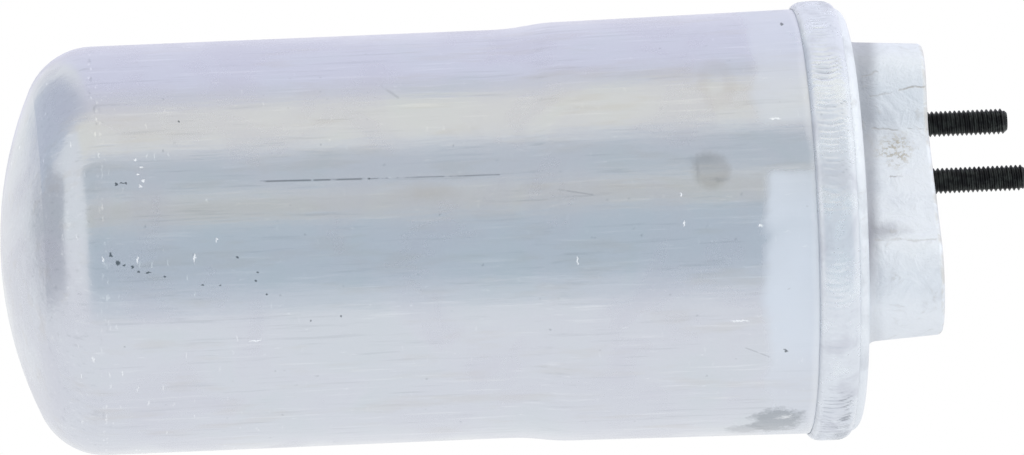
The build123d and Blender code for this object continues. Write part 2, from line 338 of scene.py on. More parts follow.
canFinish = {
    "metal": (0.635, 0.665, 0.730, 1),
    "violetTone": (0.590, 0.590, 0.680, 1),
    "tealTone": (0.590, 0.650, 0.690, 1),
    "warmTone": (0.585, 0.585, 0.590, 1),
    "bleached": (0.655, 0.710, 0.785, 1),
    "smudge": (0.400, 0.395, 0.375, 1),
    "grime": (0.270, 0.300, 0.340, 1),
    "darkMark": (0.170, 0.195, 0.220, 1),
    "brightMark": (0.90, 0.93, 0.96, 1),
    "rust": (0.42, 0.36, 0.30, 1),
    "roughness": 0.19,
    "metallic": (1.0, 0.35),       # where the drawn skin is whole, and where it is dull
    "dullRoughness": 0.30,         # added where it is dull
    "bump": (0.32, 0.2 * mm),      # strength and depth
    "edgeShake": 1.1 * mm,         # how ragged the edges of the marks are
    "nickStrength": 0.85,
    "scratchBreak": (420.0, 0.36), # scale and share of the gaps in the scratches
    # where along the can, or along X for the two parts, an effect starts and is full, and its strengths there
    "bleachRise": (161.4 * mm, 164.8 * mm),
    "bleachWaver": 10.0 * mm,
    "bleachLowerPart": (-12.6 * mm, -10.2 * mm, 0.0, 1.0),
    "bleachUpperPart": (-20.0 * mm, -22.5 * mm, 0.0, 0.42),
    "bleachFade": (22 * mm, 38 * mm, 1.0, 0.30),
    "brightEdge": (172.4 * mm, 173.8 * mm, 0.0, 0.22),
    "domeNicks": (70 * mm, 20 * mm, 0.25, 1.0),
    "drawLine": 20.0 * mm,
    "drawLineWaver": 2.0 * mm,
    "drawLineReach": (1.5 * mm, 0.1 * mm),
    # cells per metre, width of the nicks and the share of cells that have one
    "ringNicks": ((420, 420, 1500), 0.42, 0.50),
    "ringDark": ((260, 260, 1100), 0.5, 0.18),
    "roundNicks": ((300, 300, 1700), 0.30, 0.045),
    "longNicks": ((1500, 1500, 240), 0.28, 0.05),
    "pepper": ((620, 620, 620), 0.24, 0.03),
    # x, height over the crown and half sizes across and along the can, in mm
    "darkSpecks": (
        (1.1, 21.3, 0.55, 0.45), (2.8, 22.9, 0.75, 0.65), (3.3, 24.3, 0.35, 0.4), (3.9, 26.0, 0.35, 0.35),
        (4.8, 27.3, 0.3, 0.45), (5.2, 29.5, 0.2, 0.7), (6.1, 33.0, 0.25, 0.4), (8.3, 41.0, 0.25, 0.5),
        (8.5, 44.7, 0.25, 0.35), (2.6, 48.7, 0.35, 0.35), (7.8, 52.6, 0.3, 0.3), (6.1, 53.0, 0.25, 0.25),
        (10.9, 54.8, 0.3, 0.3), (-27.2, 37.8, 0.3, 0.3), (-14.1, 23.4, 0.45, 0.35), (-14.3, 25.0, 0.25, 0.9),
        (17.0, 64.2, 0.3, 0.3), (16.3, 70.7, 0.25, 0.25), (27.8, 167.0, 0.45, 0.4), (-43.0, 170.8, 0.5, 0.4),
    ),
    "brightNicks": (
        (2.2, 27.1, 1.0, 0.22), (2.4, 39.5, 1.15, 0.24), (2.0, 19.7, 0.7, 0.2), (-1.1, 44.3, 0.8, 0.2),
        (-19.2, 27.8, 0.3, 0.45), (-17.6, 29.0, 0.25, 0.4), (-16.2, 28.2, 0.3, 0.35),
        (-14.6, 29.2, 0.25, 0.4), (-13.4, 28.6, 0.25, 0.35), (-22.4, 166.5, 0.25, 1.4),
        (-6.8, 145.0, 0.5, 0.3), (-0.6, 145.4, 0.6, 0.25), (0.6, 161.8, 0.4, 0.6),
        (6.5, 122.0, 1.0, 0.2), (20.8, 52.0, 0.2, 1.5), (20.9, 157.0, 0.2, 2.2),
    ),
    # centre and half sizes as x and height in mm, tone, strength, raggedness, softness and grain scale
    "stains": (
        # smudge on the upper body
        ((-11.9, 151.8), (4.6, 4.9), "smudge", 0.36, 0.12, 0.35, 200.0),
        ((-14.2, 150.6), (1.6, 4.4), "grime", 0.18, 0.25, 0.8, 300.0),
        ((-9.7, 153.4), (0.6, 3.0), "grime", 0.32, 0.25, 0.8, 300.0),
        ((-12.0, 148.9), (3.2, 0.5), "grime", 0.22, 0.25, 0.8, 300.0),
        # faint ring beside it, of which only the rim shows
        ((-30.5, 154.6), (6.4, 4.6), "rust", 0.42, 0.14, 0.8, 420.0, "Rim"),
        # ragged dark patch low beside the weld, and its tail
        ((42.8, 166.4), (2.9, 6.6), "grime", 0.70, 0.30, 0.35, 330.0),
        ((42.3, 167.6), (0.5, 2.6), "brightMark", 0.6, 0.55, 0.8, 700.0),
        ((44.6, 160.0), (1.1, 5.0), "grime", 0.50, 0.30, 0.5, 330.0),
        ((-9.6, 90.0), (2.6, 9.0), "warmTone", 0.55, 0.3, 0.9, 160.0),
    ),
    # start and end as x and height, width, all in mm, and strength
    "scratches": (
        ((-13.5, 54.6), (-13.1, 78.0), 0.30, 0.85), ((-13.1, 78.0), (-12.8, 106.1), 0.22, 0.55),
        ((26.8, 158.2), (29.0, 163.5), 0.20, 0.30),
        ((-33.0, 82.4), (-30.4, 85.6), 0.45, 0.22), ((-9.2, 118.0), (-7.6, 126.0), 0.28, 0.25),
    ),
}


def stainAndShadeMask(tree, effects, place, centre, size, raggedness, softness, scale, part="Mask"):
    return useGroup(tree, effects["stainAndShade"], {
        "Position": place, "Centre": (centre[0] * mm, 0, centre[1] * mm),
        "Half Width": size[0] * mm, "Half Height": size[1] * mm,
        "Raggedness": raggedness, "Softness": softness, "Grain Scale": scale}).outputs[part]


def nickMask(tree, effects, place, spread, width, share):
    return useGroup(tree, effects["nicks"], {
        "Position": place, "Spread": spread, "Width": width, "Share": share}).outputs[0]


def speckSum(tree, effects, place, specks):
    total = 0.0
    for x, z, halfAcross, halfAlong in specks:
        speck = useGroup(tree, effects["speck"], {
            "Position": place, "Centre": (x * mm, 0, z * mm), "Size": (halfAcross * mm, 1, halfAlong * mm)})
        total = plus(tree, total, speck.outputs[0])
    return total


def lineSum(tree, effects, place, lines, breaks):
    total = 0.0
    for start, end, width, strength in lines:
        line = useGroup(tree, effects["scratchAndShade"], {
            "Position": place, "Start": (start[0] * mm, 0, start[1] * mm),
            "End": (end[0] * mm, 0, end[1] * mm), "Width": width * mm,
            "Break Scale": breaks[0], "Break": breaks[1]})
        total = plus(tree, total, times(tree, line.outputs[0], strength))
    return total


def makeCanMaterial(effects):
    material, tree, shader = newMaterial("canAluminium")
    place = tree.nodes.new("ShaderNodeTexCoord").outputs["Object"]
    parts = addNode(tree, "ShaderNodeSeparateXYZ", {0: place})
    across, depth, height = parts.outputs[0], parts.outputs[1], parts.outputs[2]
    front = mathNode(tree, "LESS_THAN", depth, 0.0)

    # marks get ragged edges from a place that is shaken a little
    shake = noiseNode(tree, place, 1500.0, 2.0)
    ragged = shakenPlace(tree, place, shake, canFinish["edgeShake"])

    grain = useGroup(tree, effects["grain"], {"Position": place, "Stretch": 0.05})
    broad = useGroup(tree, effects["grain"], {"Position": place, "Line Scale": 210.0, "Stretch": 0.22,
                                              "Cloud Scale": 48.0})

    # cloudy tones: violet and teal drifts, darker streaks along the can
    violet = ramp(tree, broad.outputs["Cloud"], 0.44, 0.74, 0.0, 0.32)
    teal = ramp(tree, broad.outputs["Cloud"], 0.52, 0.26, 0.0, 0.50)
    colour = mixColour(tree, violet, canFinish["metal"], canFinish["violetTone"])
    colour = mixColour(tree, teal, colour, canFinish["tealTone"])
    colour = mixColour(tree, ramp(tree, broad.outputs["Lines"], 0.52, 0.72, 0.0, 0.36), colour,
                       canFinish["warmTone"])
    colour = mixColour(tree, ramp(tree, grain.outputs["Lines"], 0.56, 0.76, 0.0, 0.22), colour,
                       canFinish["brightMark"])
    colour = mixColour(tree, ramp(tree, grain.outputs["Lines"], 0.44, 0.26, 0.0, 0.16), colour,
                       canFinish["grime"])

    # heat-bleached ring beside the weld: full below, broken where the can stayed bright
    waver = times(tree, minus(tree, broad.outputs["Cloud"], 0.5), canFinish["bleachWaver"])
    bleach = ramp(tree, plus(tree, height, waver), *canFinish["bleachRise"])
    blotch = plus(tree, across, times(tree, waver, 0.4))
    lowerPart = ramp(tree, blotch, *canFinish["bleachLowerPart"])
    upperPart = ramp(tree, blotch, *canFinish["bleachUpperPart"])
    reach = mathNode(tree, "MAXIMUM", mathNode(tree, "MAXIMUM", lowerPart, upperPart),
                     minus(tree, 1.0, front))
    bleach = times(tree, bleach, reach)
    patchy = ramp(tree, broad.outputs["Cloud"], 0.35, 0.62, 0.70, 0.95)
    patchy = times(tree, patchy, ramp(tree, across, *canFinish["bleachFade"]))
    bleach = times(tree, bleach, patchy)
    colour = mixColour(tree, bleach, colour, canFinish["bleached"])
    # thin bright edge right beside the bead
    edge = ramp(tree, plus(tree, height, times(tree, waver, 0.3)), *canFinish["brightEdge"])
    colour = mixColour(tree, edge, colour, canFinish["brightMark"])

    # line left by the drawing die, full of small nicks
    ringWaver = times(tree, minus(tree, shake.outputs[0], 0.5), canFinish["drawLineWaver"])
    fromRing = mathNode(tree, "ABSOLUTE", minus(tree, plus(tree, height, ringWaver), canFinish["drawLine"]))
    ring = ramp(tree, fromRing, *canFinish["drawLineReach"])
    ringNicks = nickMask(tree, effects, ragged, *canFinish["ringNicks"])
    colour = mixColour(tree, times(tree, ring, times(tree, ringNicks, 0.8)), colour, canFinish["brightMark"])
    ringDark = nickMask(tree, effects, ragged, *canFinish["ringDark"])
    colour = mixColour(tree, times(tree, ring, times(tree, ringDark, 0.5)), colour, canFinish["grime"])

    # nicks strewn over the whole can, thicker towards the dome
    nearDome = ramp(tree, height, *canFinish["domeNicks"])
    roundNicks, longNicks, pepper = (nickMask(tree, effects, ragged, *canFinish[name])
                                     for name in ("roundNicks", "longNicks", "pepper"))
    colour = mixColour(tree, times(tree, roundNicks, nearDome), colour, canFinish["brightMark"])
    colour = mixColour(tree, times(tree, longNicks, 0.35), colour, canFinish["brightMark"])
    colour = mixColour(tree, times(tree, pepper, 0.45), colour, canFinish["grime"])

    for centre, size, tone, strength, *grade in canFinish["stains"]:
        mask = stainAndShadeMask(tree, effects, ragged, centre, size, *grade)
        colour = mixColour(tree, times(tree, mask, strength), colour, canFinish[tone])

    darkMask = mathNode(tree, "MINIMUM", speckSum(tree, effects, ragged, canFinish["darkSpecks"]), 1.0)
    colour = mixColour(tree, darkMask, colour, canFinish["darkMark"])
    brightMask = times(tree, speckSum(tree, effects, ragged, canFinish["brightNicks"]),
                       canFinish["nickStrength"], clamp=True)
    colour = mixColour(tree, brightMask, colour, canFinish["brightMark"])
    scratchMask = mathNode(tree, "MINIMUM", lineSum(
        tree, effects, place, canFinish["scratches"], canFinish["scratchBreak"]), 1.0)
    colour = mixColour(tree, scratchMask, colour, canFinish["darkMark"])

    # bleached metal and nicks scatter light more than the drawn skin does
    dull = mathNode(tree, "MAXIMUM", bleach, mathNode(tree, "MAXIMUM", brightMask, edge))
    metallic = ramp(tree, dull, 0.0, 1.0, *canFinish["metallic"], smooth=False)
    rough = plus(tree, canFinish["roughness"], times(tree, dull, canFinish["dullRoughness"]))
    rough = plus(tree, rough, ramp(tree, broad.outputs["Cloud"], 0.35, 0.65, -0.03, 0.07))
    rough = plus(tree, rough, times(tree, grain.outputs["Grit"], 0.05))
    relief = plus(tree, times(tree, grain.outputs["Lines"], 0.35), times(tree, broad.outputs["Lines"], 1.1))
    relief = plus(tree, relief, times(tree, broad.outputs["Cloud"], 1.6))
    relief = plus(tree, relief, times(tree, grain.outputs["Grit"], 0.12))
    dressShader(tree, shader, colour, metallic, rough, relief, *canFinish["bump"])
    print("can finish made")
    return material


# Weld bead: a ring spun from its section, then raised into overlapping ripples

bead = {
    "sectionPoints": 36,
    "stepsRound": 1440,
    "height": 1.55 * mm,
    "skinInset": 0.10 * mm,      # how far the skin lies under the bead's crest
    "ripplePitch": 1.50 * mm,
    "rippleHeight": 0.50 * mm,
    "rippleBow": 3.0 * mm,       # how far each ripple sweeps back on the header's side
    "rippleBase": 0.80,          # share of a ripple's height that lies under the skin
    "rippleWaver": ((1.1, 7.0), (0.30, 34.0)),   # in pitches, and how fast it changes round the can
    # place as a share of the width, spread and depth of the grooves along the bead's two edges
    "grooves": ((0.05, 0.03, 0.06 * mm), (0.86, 0.025, 0.10 * mm)),
    "calmArc": (-12, 34),        # degrees from the front, where the ripples nearly vanish
    "calmShare": 0.78,
    "craterTurn": 65,            # degrees from the front, where the weld ends
    "craterSize": (2.6, 0.16),   # degrees round the can, and a share of the width
    "craterHeight": 0.30 * mm,
    "fadeIn": (0.10, 0.22),      # shares of the width between which the ripples start and end
    "fadeOut": (0.80, 0.93),
    "roughSkin": ((0.07 * mm, 700.0), (0.12 * mm, 160.0)),   # height, and scale of the noise
    "toe": (175.2 * mm, 174.5 * mm, 0.0, 0.22),   # heights and strengths of the dark foot
    "soot": ((700, 700, 700), 0.3, 0.05),
    "metallic": 0.62,
    "bump": (0.25, 0.2 * mm),
    "metal": (0.690, 0.730, 0.790, 1),
    "shade": (0.550, 0.570, 0.640, 1),
    "pale": (0.740, 0.790, 0.840, 1),
    "hollowShade": (0.330, 0.355, 0.410, 1),
}


def softStep(value, low, high):
    share = max(0.0, min(1.0, (value - low) / (high - low)))
    return share * share * (3 - 2 * share)


def rippleLift(place, turn, width):
    # how far the bead's skin stands proud at a turn round the can and a share of its width
    outer = math.hypot(place.x, place.y)
    seat = Vector((place.x / outer, place.y / outer, 0))
    waver = sum(size * noise.noise(seat * pace) for size, pace in bead["rippleWaver"])
    bow = bead["rippleBow"] * max(0.0, (width - 0.45) / 0.55) ** 2 + 0.9 * mm * max(0.0, 0.45 - width)
    phase = (turn * outer + bow) / bead["ripplePitch"] + waver
    ripple = math.floor(phase)
    wave = phase - ripple
    own = noise.cell(Vector((ripple * 0.731, 4.2, 1.7)))
    crest = math.sin(math.pi * wave ** 0.6) ** 0.8
    degreesRound = math.degrees(math.atan2(place.x, -place.y))
    low, high = bead["calmArc"]
    calm = softStep(degreesRound, low - 10, low + 8) * (1 - softStep(degreesRound, high - 6, high + 14))
    strength = (0.45 + 0.55 * abs(own)) * (1 - bead["calmShare"] * calm)
    strength *= 0.7 + 0.5 * noise.noise(seat * 11.0 + Vector((0, 0, 5)))
    window = softStep(width, *bead["fadeIn"]) * (1 - softStep(width, *bead["fadeOut"]))
    lift = bead["rippleHeight"] * (crest - bead["rippleBase"]) * strength * window
    for middle, spread, groove in bead["grooves"]:
        lift -= groove * math.exp(-((width - middle) / spread) ** 2)
    crater = bead["craterSize"]
    fromCrater = math.hypot((degreesRound - bead["craterTurn"]) / crater[0], (width - 0.72) / crater[1])
    lift += bead["craterHeight"] * (math.exp(-(fromCrater - 1.5) ** 2 * 3) - 1.1 * math.exp(-fromCrater ** 2))
    lift += sum(size * noise.noise(place * scale) for size, scale in bead["roughSkin"])
    return lift


def makeWeldBead():
    low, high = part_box("weld_bead")
    foot, top, outer = low[2], high[2], high[0]
    inner = outer - bead["height"]
    deselectAll()
    bpy.ops.mesh.primitive_circle_add(vertices=bead["sectionPoints"], radius=1, rotation=(math.pi / 2, 0, 0))
    ring = bpy.context.object
    bpy.ops.object.transform_apply(location=False, rotation=True, scale=True)
    for point in ring.data.vertices:
        share = 0.5 + 0.5 * point.co.z
        bulge = (1 - abs(2 * share - 1) ** 4) ** 0.62 if point.co.x > 0 else 0.0
        point.co = Vector((inner + (outer - inner) * bulge, 0, foot + (top - foot) * share))
    bpy.ops.object.mode_set(mode="EDIT")
    bpy.ops.mesh.select_all(action="SELECT")
    bpy.ops.mesh.spin(steps=bead["stepsRound"], angle=2 * math.pi, center=(0, 0, 0), axis=(0, 0, 1))
    bpy.ops.mesh.select_all(action="SELECT")
    bpy.ops.mesh.remove_doubles(threshold=mergeGap)
    bpy.ops.mesh.normals_make_consistent(inside=False)
    bpy.ops.object.mode_set(mode="OBJECT")
    # the ripples run round the ring, so each point is moved along its own radius
    hollows = ring.data.attributes.new("rippleHollow", "FLOAT", "POINT").data
    for point in ring.data.vertices:
        radius = math.hypot(point.co.x, point.co.y)
        proud = (radius - inner) / (outer - inner)
        if proud < 0.02:
            continue
        width = (point.co.z - foot) / (top - foot)
        lift = rippleLift(point.co, math.atan2(point.co.y, point.co.x), width) * min(1.0, proud * 1.5)
        hollows[point.index].value = max(0.0, -lift / bead["rippleHeight"])
        scale = min(outer, radius - bead["skinInset"] * proud + lift) / radius
        point.co.x *= scale
        point.co.y *= scale
    deselectAll()
    ring.select_set(True)
    bpy.context.view_layer.objects.active = ring
    bpy.ops.object.shade_smooth()
    settle(ring, "weldBead", "weld_bead")
    return ring


def makeBeadMaterial(effects):
    material, tree, shader = newMaterial("weldAluminium")
    place = tree.nodes.new("ShaderNodeTexCoord").outputs["Object"]
    height = addNode(tree, "ShaderNodeSeparateXYZ", {0: place}).outputs[2]
    grain = useGroup(tree, effects["grain"], {"Position": place, "Cloud Scale": 120.0})
    colour = mixColour(tree, ramp(tree, grain.outputs["Cloud"], 0.50, 0.68, 0.0, 0.55), bead["metal"],
                       bead["shade"])
    colour = mixColour(tree, ramp(tree, grain.outputs["Cloud"], 0.46, 0.32, 0.0, 0.6), colour, bead["pale"])
    soot = nickMask(tree, effects, place, *bead["soot"])
    colour = mixColour(tree, times(tree, soot, 0.4), colour, canFinish["grime"])
    # painted shade in the hollows between ripples
    hollowShade = tree.nodes.new("ShaderNodeAttribute")
    hollowShade.attribute_name = "rippleHollow"
    colour = mixColour(tree, ramp(tree, hollowShade.outputs["Fac"], 0.15, 0.60, 0.0, 0.60), colour, bead["hollowShade"])
    # dark toe where the bead meets the can
    colour = mixColour(tree, ramp(tree, height, *bead["toe"]), colour, canFinish["grime"])
    rough = plus(tree, times(tree, grain.outputs["Grit"], 0.12), 0.20)
    rough = plus(tree, rough, ramp(tree, grain.outputs["Cloud"], 0.35, 0.65, 0.0, 0.12))
    dressShader(tree, shader, colour, bead["metallic"], rough, grain.outputs["Grit"], *bead["bump"])
    return material


# Studs: rolled thread turned up round the axis, cut to length and chamfered

stud = {
    "pitch": 1.0 * mm,
    "threadDepth": 0.50 * mm,
    "crestInset": 0.10 * mm,
    "stepsRound": 48,
    "chamfer": 1.0 * mm,
    "chamferSlope": 0.9,
    "leadTurns": 1.5,            # how far the thread starts under the cut, and how much longer it gets
    "spareTurns": 3,
    "cutGap": 0.0000005,         # metres: how near the cut a point counts as on it
    "grip": 12.0 * mm,
    "coreRadius": 2.45 * mm,
    "steel": (0.013, 0.014, 0.016, 1),
    "sheen": (0.045, 0.052, 0.050, 1),
    "metallic": 0.6,
}


def studPlaces():
    # centre and tip of each stud, read from the frame's own mesh
    mesh = nodes["connection_studs"].data
    front = [v.co for v in mesh.vertices if v.co.y < 0]
    back = [v.co for v in mesh.vertices if v.co.y > 0]
    places = []
    for group in (front, back):
        xs, ys, zs = [v.x for v in group], [v.y for v in group], [v.z for v in group]
        centre = Vector(((min(xs) + max(xs)) / 2, (min(ys) + max(ys)) / 2, 0))
        places.append((centre, (max(xs) - min(xs)) / 2, min(zs), max(zs)))
    return places


def makeThread(centre, radius, foot, tip):
    face = foot + stud["grip"]
    radius -= stud["crestInset"]
    root = radius - stud["threadDepth"]
    pitch = stud["pitch"]
    turns = int((tip - face) / pitch) + stud["spareTurns"]
    deselectAll()
    # one pitch of the thread's outline: a six-point ring opened between its last and first point
    bpy.ops.mesh.primitive_circle_add(vertices=6, radius=1)
    thread = bpy.context.object
    start = face - stud["leadTurns"] * pitch
    outline = ((root, 0.0), (root, 0.10), (radius, 0.43), (radius, 0.57), (root, 0.90), (root, 1.0))
    for point, (reach, share) in zip(thread.data.vertices, outline):
        point.co = Vector((reach, 0, start + share * pitch))
    for edge in thread.data.edges:
        edge.select = set(edge.vertices) == {0, 5}
    for point in thread.data.vertices:
        point.select = point.index in (0, 5)
    bpy.ops.object.mode_set(mode="EDIT")
    bpy.ops.mesh.select_mode(type="EDGE")
    bpy.ops.mesh.delete(type="EDGE")
    bpy.ops.mesh.select_mode(type="VERT")
    bpy.ops.object.mode_set(mode="OBJECT")
    applyModifier(thread, "SCREW", axis="Z", steps=stud["stepsRound"], render_steps=stud["stepsRound"],
                  iterations=turns, screw_offset=pitch, use_merge_vertices=True, merge_threshold=mergeGap)
    bpy.ops.object.mode_set(mode="EDIT")
    for height, keepsAbove in ((face, True), (tip, False)):
        bpy.ops.mesh.select_all(action="SELECT")
        bpy.ops.mesh.bisect(plane_co=(0, 0, height), plane_no=(0, 0, 1), use_fill=True,
                            threshold=stud["cutGap"], clear_inner=keepsAbove, clear_outer=not keepsAbove)
    bpy.ops.mesh.select_all(action="SELECT")
    bpy.ops.mesh.remove_doubles(threshold=mergeGap)
    bpy.ops.mesh.normals_make_consistent(inside=False)
    bpy.ops.object.mode_set(mode="OBJECT")
    for point in thread.data.vertices:
        here = math.hypot(point.co.x, point.co.y)
        allowed = radius - max(0.0, point.co.z - (tip - stud["chamfer"])) * stud["chamferSlope"]
        if here > allowed:
            point.co.x *= allowed / here
            point.co.y *= allowed / here
    thread.location = centre
    return thread


def makeStuds():
    pieces = [makeThread(centre, radius, foot, tip) for centre, radius, foot, tip in studPlaces()]
    for centre, radius, foot, tip in studPlaces():
        deselectAll()
        bpy.ops.mesh.primitive_cylinder_add(vertices=stud["stepsRound"], radius=stud["coreRadius"],
                                            depth=stud["grip"], location=(0, 0, foot + stud["grip"] / 2))
        grip = bpy.context.object
        grip.location += centre
        pieces.append(grip)
    deselectAll()
    for piece in pieces:
        piece.select_set(True)
    bpy.context.view_layer.objects.active = pieces[0]
    bpy.ops.object.join()
    joined = bpy.context.object
    bpy.ops.object.shade_smooth_by_angle(angle=math.radians(35))
    settle(joined, "connectionStuds", "connection_studs")
    return joined


def makeStudMaterial(effects):
    material, tree, shader = newMaterial("blackOxide")
    place = tree.nodes.new("ShaderNodeTexCoord").outputs["Object"]
    grain = useGroup(tree, effects["grain"], {"Position": place, "Cloud Scale": 500.0})
    colour = mixColour(tree, ramp(tree, grain.outputs["Cloud"], 0.4, 0.65), stud["steel"], stud["sheen"])
    rough = plus(tree, times(tree, grain.outputs["Grit"], 0.2), 0.35)
    dressShader(tree, shader, colour, stud["metallic"], rough)
    return material


# Header

headerFinish = {
    "metal": (0.730, 0.770, 0.820, 1),
    "shade": (0.560, 0.590, 0.640, 1),
    "rootShade": (0.300, 0.310, 0.350, 1),
    "tarnish": (0.500, 0.480, 0.430, 1),
    "creaseMarkAndShade": (0.360, 0.340, 0.320, 1),
    "machined": (0.700, 0.720, 0.750, 1),
    "discFace": 185.4 * mm,
    "padFace": 202.3 * mm,
    "rootRise": 1.9 * mm,          # how far the shade stands up the pad's side
    "rootSlope": 0.14,             # how much higher it gets away from the rim
    "rootStart": -37 * mm,         # where along Y the rise starts
    "creaseMiddle": 3.6 * mm,      # where along X the shade is deepest
    "creaseSpread": 6.5 * mm,
    "roughness": 0.46,
    "metallic": (0.42, 0.9),       # of the forged skin, and of the machined face
    "bump": (0.55, 0.6 * mm),
    "edgeShake": 2.6 * mm,
    "creaseBreak": (300.0, 0.38),
    "lobeSide": (9 * mm, 20 * mm, 1.0, 0.35),   # the shade gets weaker along X
    # patches, as in canFinish["stains"] but without tone and strength
    "lobeShade": ((2.6, 189.5), (2.4, 7.0), 0.25, 0.9, 240.0),
    "scalePatch": ((-14.6, 194.4), (4.2, 5.2), 0.30, 0.6, 300.0),
    # lines across the pad's side, some real dark marks and some painted shade along the valley and the lobe's
    # step: start and end as x and height, width, all in mm, and strength
    "creaseMarksAndShade": (
        ((-28.4, 202.0), (-27.6, 196.0), 0.34, 0.85), ((-27.6, 196.0), (-26.4, 189.5), 0.26, 0.35),
        ((-19.3, 189.5), (-18.7, 202.0), 0.30, 0.55), ((-8.8, 192.5), (-8.6, 196.5), 0.30, 0.6),
        ((-30.8, 188.5), (-31.6, 191.5), 0.30, 0.4), ((4.6, 187.5), (5.4, 202.0), 0.40, 0.35),
    ),
}


def makeHeaderMaterial(effects):
    material, tree, shader = newMaterial("forgedAluminium")
    place = tree.nodes.new("ShaderNodeTexCoord").outputs["Object"]
    parts = addNode(tree, "ShaderNodeSeparateXYZ", {0: place})
    across, depth, height = parts.outputs[0], parts.outputs[1], parts.outputs[2]
    shake = noiseNode(tree, place, 260.0, 4.0)
    ragged = shakenPlace(tree, place, shake, headerFinish["edgeShake"])
    grain = useGroup(tree, effects["grain"], {"Position": place, "Cloud Scale": 85.0, "Line Scale": 420.0,
                                              "Stretch": 0.35})
    coarse = noiseNode(tree, place, 190.0, 5.0, Roughness=0.6, Distortion=0.8)
    colour = mixColour(tree, ramp(tree, grain.outputs["Cloud"], 0.50, 0.68, 0.0, 0.50), headerFinish["metal"],
                       headerFinish["shade"])
    colour = mixColour(tree, ramp(tree, coarse.outputs[0], 0.56, 0.72, 0.0, 0.35), colour,
                       headerFinish["shade"])

    # painted shade in the corner round the pad's foot, higher where the pad stands back from the rim
    backset = times(tree, plus(tree, depth, -headerFinish["rootStart"]), headerFinish["rootSlope"])
    topOfShade = plus(tree, headerFinish["discFace"] + headerFinish["rootRise"], backset)
    over = minus(tree, height, topOfShade)
    rising = ramp(tree, over, 1.7 * mm, -1.5 * mm)
    root = times(tree, rising, ramp(tree, height, headerFinish["discFace"] - 0.3 * mm,
                                    headerFinish["discFace"] + 0.3 * mm))
    nearCrease = mathNode(tree, "DIVIDE", minus(tree, across, headerFinish["creaseMiddle"]),
                          headerFinish["creaseSpread"])
    deepest = mathNode(tree, "POWER", eulerNumber, times(tree, times(tree, nearCrease, nearCrease), -1.0))
    rootStrength = plus(tree, 0.62, times(tree, deepest, 0.38))
    lobeSide = ramp(tree, across, *headerFinish["lobeSide"])
    colour = mixColour(tree, times(tree, times(tree, root, rootStrength), lobeSide),
                       colour, headerFinish["rootShade"])
    # painted shade that runs along the start of the lobe
    lobeShade = stainAndShadeMask(tree, effects, ragged, *headerFinish["lobeShade"])
    colour = mixColour(tree, times(tree, lobeShade, 0.55), colour, headerFinish["rootShade"])

    # mottled scale on the pad's side
    scalePatch = stainAndShadeMask(tree, effects, ragged, *headerFinish["scalePatch"])
    flakes = noiseNode(tree, place, 900.0, 3.0, Roughness=0.7)
    flaky = times(tree, scalePatch, ramp(tree, flakes.outputs[0], 0.46, 0.60, 0.10, 0.95))
    colour = mixColour(tree, flaky, colour, headerFinish["tarnish"])
    tarnish = times(tree, ramp(tree, coarse.outputs[0], 0.60, 0.74), 0.28)
    colour = mixColour(tree, tarnish, colour, headerFinish["tarnish"])

    # dark lines on the pad's side: real marks, and painted shade along the valley and the lobe's step
    creaseMarksAndShade = lineSum(tree, effects, ragged, headerFinish["creaseMarksAndShade"], headerFinish["creaseBreak"])
    colour = mixColour(tree, mathNode(tree, "MINIMUM", creaseMarksAndShade, 1.0), colour, headerFinish["creaseMarkAndShade"])

    # rubbed brown rim of the pad's face, and the bright machined face itself
    nearFace = ramp(tree, height, headerFinish["padFace"] - 1.2 * mm, headerFinish["padFace"] - 0.5 * mm, 0.0,
                    0.5)
    rubbed = times(tree, nearFace, ramp(tree, coarse.outputs[0], 0.42, 0.58))
    colour = mixColour(tree, rubbed, colour, headerFinish["tarnish"])
    face = ramp(tree, height, headerFinish["padFace"] - 0.12 * mm, headerFinish["padFace"] - 0.04 * mm)
    colour = mixColour(tree, face, colour, headerFinish["machined"])
    metallic = ramp(tree, face, 0.0, 1.0, *headerFinish["metallic"], smooth=False)
    rough = plus(tree, headerFinish["roughness"], times(tree, face, -0.14))
    rough = plus(tree, rough, ramp(tree, grain.outputs["Cloud"], 0.35, 0.65, -0.05, 0.10))
    relief = plus(tree, times(tree, coarse.outputs[0], 1.5), times(tree, grain.outputs["Grit"], 0.25))
    relief = minus(tree, relief, times(tree, creaseMarksAndShade, 0.5))
    relief = plus(tree, relief, times(tree, flaky, 0.3))
    relief = times(tree, relief, minus(tree, 1.0, times(tree, face, 0.85)))
    dressShader(tree, shader, colour, metallic, rough, relief, *headerFinish["bump"])
    print("header finish made")
    return material


# Pieces inside the can

def makePlainMaterial(effects, name, finish):
    material, tree, shader = newMaterial(name)
    place = tree.nodes.new("ShaderNodeTexCoord").outputs["Object"]
    grain = useGroup(tree, effects["grain"], {"Position": place, "Cloud Scale": finish["scale"]})
    colour = mixColour(tree, ramp(tree, grain.outputs["Cloud"], 0.35, 0.65), finish["metal"], finish["tone"])
    rough = plus(tree, times(tree, grain.outputs["Grit"], 0.2), finish["roughness"] - 0.1)
    dressShader(tree, shader, colour, finish["metallic"], rough, grain.outputs["Grit"], 0.2, 0.3 * mm)
    return material


